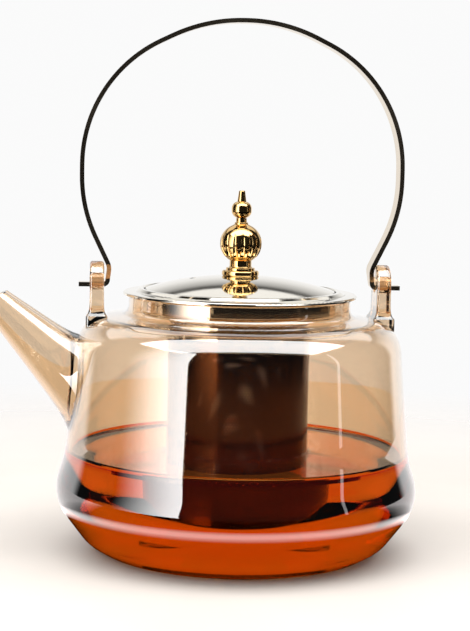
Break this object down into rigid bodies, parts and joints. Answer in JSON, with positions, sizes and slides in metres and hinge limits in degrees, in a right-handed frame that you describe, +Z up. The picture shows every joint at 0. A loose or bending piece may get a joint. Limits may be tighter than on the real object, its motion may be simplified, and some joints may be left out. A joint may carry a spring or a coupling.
{
  "type": "glass teapot with infuser",
  "caption": "Glass teapot with a conical spout, a strip bail on two glass lugs, a lift-out steel infuser in its neck and a domed lid with a turned knob.",
  "frame": {"origin": "centre of the flat glass foot, on the pot's axis", "axes": "+Z up along the pot's axis, spout towards -X, bail hinge along X"},
  "size_m": [0.1799, 0.148, 0.2169],
  "materials": {
    "amber_glass": "clear amber tint, fire polished",
    "bail_metal": "polished pale gilt",
    "polished_steel": "mirror polished stainless steel",
    "perforated_steel": "finely perforated stainless steel",
    "gold_plate": "polished gold plate"
  },
  "bodies": {
    "pot": {"pot_body": "amber_glass", "spout": "amber_glass", "lug_left": "amber_glass", "lug_right": "amber_glass"},
    "bail": {"bail_strip": "bail_metal"},
    "infuser": {"infuser_rim": "polished_steel", "infuser_basket": "perforated_steel", "infuser_base": "perforated_steel"},
    "lid": {"lid_dome": "polished_steel", "lid_skirt": "polished_steel", "knob": "gold_plate", "knob_screw": "polished_steel", "knob_washer": "polished_steel"}
  },
  "joints": [
    {"name": "bail_hinge", "type": "hinge", "parent": "pot", "child": "bail", "pos_m": [0, 0, 0.1101], "axis": [1, 0, 0], "range_deg": [-100, 100]},
    {"name": "infuser_lift", "type": "slide", "parent": "pot", "child": "infuser", "axis": [0, 0, 1], "range_m": [0, 0.062]},
    {"name": "lid_lift", "type": "slide", "parent": "infuser", "child": "lid", "axis": [0, 0, 1], "range_m": [0, 0.06]}
  ]
}
